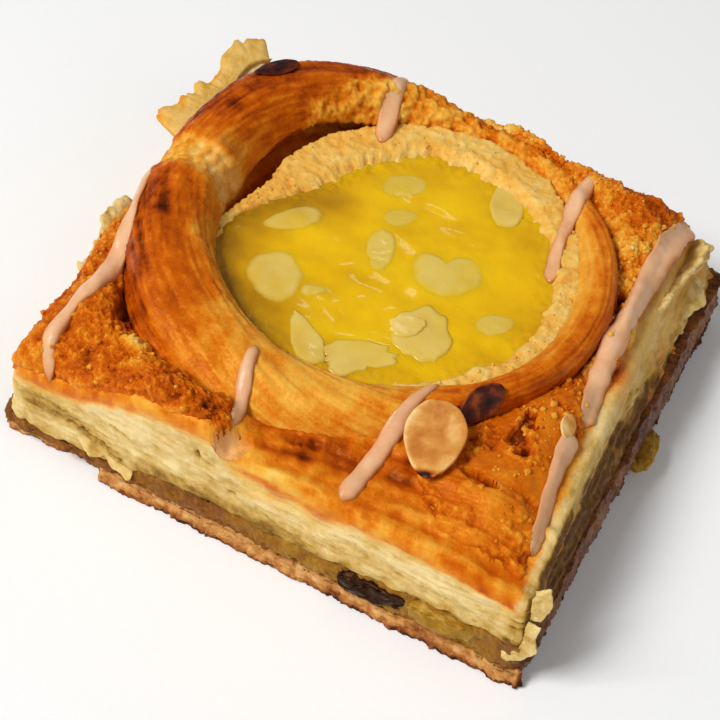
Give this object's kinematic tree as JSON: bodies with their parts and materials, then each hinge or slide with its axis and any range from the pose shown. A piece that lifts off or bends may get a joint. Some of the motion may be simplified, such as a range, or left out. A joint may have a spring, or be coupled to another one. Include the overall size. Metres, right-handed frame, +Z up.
{
  "type": "danish pastry",
  "caption": "Square danish pastry with a raised ring of dough round a custard well, flaked almonds, streusel and icing threads, on a fruit filling and a thin crust.",
  "frame": {"origin": "centre of the underside, on the surface it rests on", "axes": "+Z up, +X along the longer side, +Y from the cut front side to the back"},
  "size_m": [0.117, 0.106, 0.0429],
  "materials": {
    "base_crust": "thin flaky base, baked dry and tan",
    "filling": "cooked apple and spice filling, moist",
    "dough": "laminated yeast dough, pale crumb at the cut sides, glazed golden top",
    "dough_ring": "egg-washed dough rope, baked deep golden to dark brown",
    "custard": "set vanilla custard, wet gloss",
    "streusel": "coarse butter streusel, browned and sugared",
    "almond": "flaked almond, lightly toasted",
    "almond_burnt": "flaked almond, charred",
    "raisin": "dried raisin, wrinkled",
    "apple": "cooked apple piece, translucent"
  },
  "bodies": {
    "root": {"base_crust": "base_crust", "filling": "filling", "dough": "dough", "dough_ring": "dough_ring", "custard": "custard", "streusel_back": "streusel", "streusel_left": "streusel", "streusel_front": "streusel", "almond_large": "almond", "almond_small": "almond", "almond_dark": "almond_burnt", "almond_charred": "almond_burnt", "almond_custard_left": "almond", "almond_custard_front": "almond", "almond_custard_middle": "almond", "almond_custard_right": "almond", "raisin": "raisin", "apple_chunk": "apple", "apple_chunk_side": "apple"}
  },
  "joints": []
}
